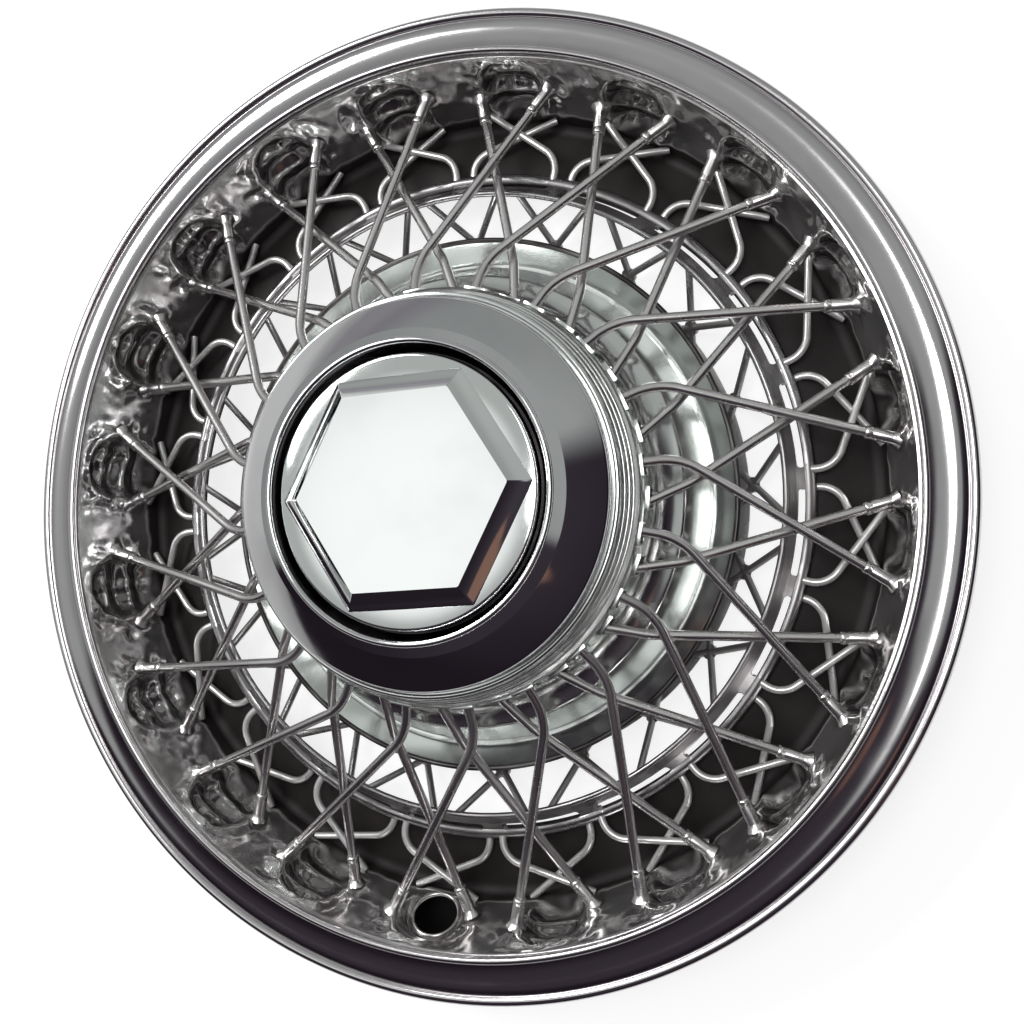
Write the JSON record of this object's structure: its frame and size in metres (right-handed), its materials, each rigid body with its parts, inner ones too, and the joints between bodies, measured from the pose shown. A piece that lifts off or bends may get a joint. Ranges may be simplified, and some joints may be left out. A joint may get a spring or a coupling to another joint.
{
  "type": "wheel cover",
  "caption": "Wire-spoked wheel cover: polished trim ring, dished bowl with stamped pockets, bent wire spokes with nipples and a chrome hub with a hexagonal cap.",
  "frame": {"origin": "centre of the hub base's flange, on the plane the cover lies on", "axes": "+Z along the wheel's axle, out of the wheel towards the centre cap; the first pocket lies 12.9 degrees from +X towards +Y"},
  "size_m": [0.406, 0.406, 0.1053],
  "materials": {
    "polished_trim": "polished stainless steel",
    "pressed_bowl": "bright pressed steel, dark enamel in the floor",
    "spring_steel": "plain spring steel",
    "dark_ring": "satin dark steel",
    "chrome_wire": "chromed wire",
    "satin_spoke": "satin steel wire",
    "hub_plate": "plated steel",
    "chrome_hub": "chrome",
    "chrome_cap": "chrome"
  },
  "bodies": {
    "root": {"trim_ring": "polished_trim", "bowl": "pressed_bowl", "retaining_ring": "spring_steel", "inner_ring": "dark_ring", "rear_lattice": "dark_ring", "short_spokes_upper": "chrome_wire", "short_spokes_lower": "chrome_wire", "hub_base": "hub_plate", "hub_dish": "chrome_hub", "hub_drum": "chrome_hub", "spoke_anchor": "spring_steel", "cap_bezel": "polished_trim", "centre_cap": "chrome_cap", "cap_spring": "spring_steel", "front_spoke_1": "satin_spoke", "front_spoke_2": "satin_spoke", "front_spoke_3": "satin_spoke", "front_spoke_4": "satin_spoke", "front_spoke_5": "satin_spoke", "front_spoke_6": "satin_spoke", "front_spoke_7": "satin_spoke", "front_spoke_8": "satin_spoke", "front_spoke_9": "satin_spoke", "front_spoke_10": "satin_spoke", "front_spoke_11": "satin_spoke", "front_spoke_12": "satin_spoke", "front_spoke_13": "satin_spoke", "front_spoke_14": "satin_spoke", "front_spoke_15": "satin_spoke", "front_spoke_16": "satin_spoke", "front_spoke_17": "satin_spoke", "front_spoke_18": "satin_spoke", "front_spoke_19": "satin_spoke", "front_spoke_20": "satin_spoke", "rear_spoke_1": "satin_spoke", "rear_spoke_2": "satin_spoke", "rear_spoke_3": "satin_spoke", "rear_spoke_4": "satin_spoke", "rear_spoke_5": "satin_spoke", "rear_spoke_6": "satin_spoke", "rear_spoke_7": "satin_spoke", "rear_spoke_8": "satin_spoke", "rear_spoke_9": "satin_spoke", "rear_spoke_10": "satin_spoke", "rear_spoke_11": "satin_spoke", "rear_spoke_12": "satin_spoke", "rear_spoke_13": "satin_spoke", "rear_spoke_14": "satin_spoke", "rear_spoke_15": "satin_spoke", "rear_spoke_16": "satin_spoke", "rear_spoke_17": "satin_spoke", "rear_spoke_18": "satin_spoke", "rear_spoke_19": "satin_spoke", "rear_spoke_20": "satin_spoke"}
  },
  "joints": []
}
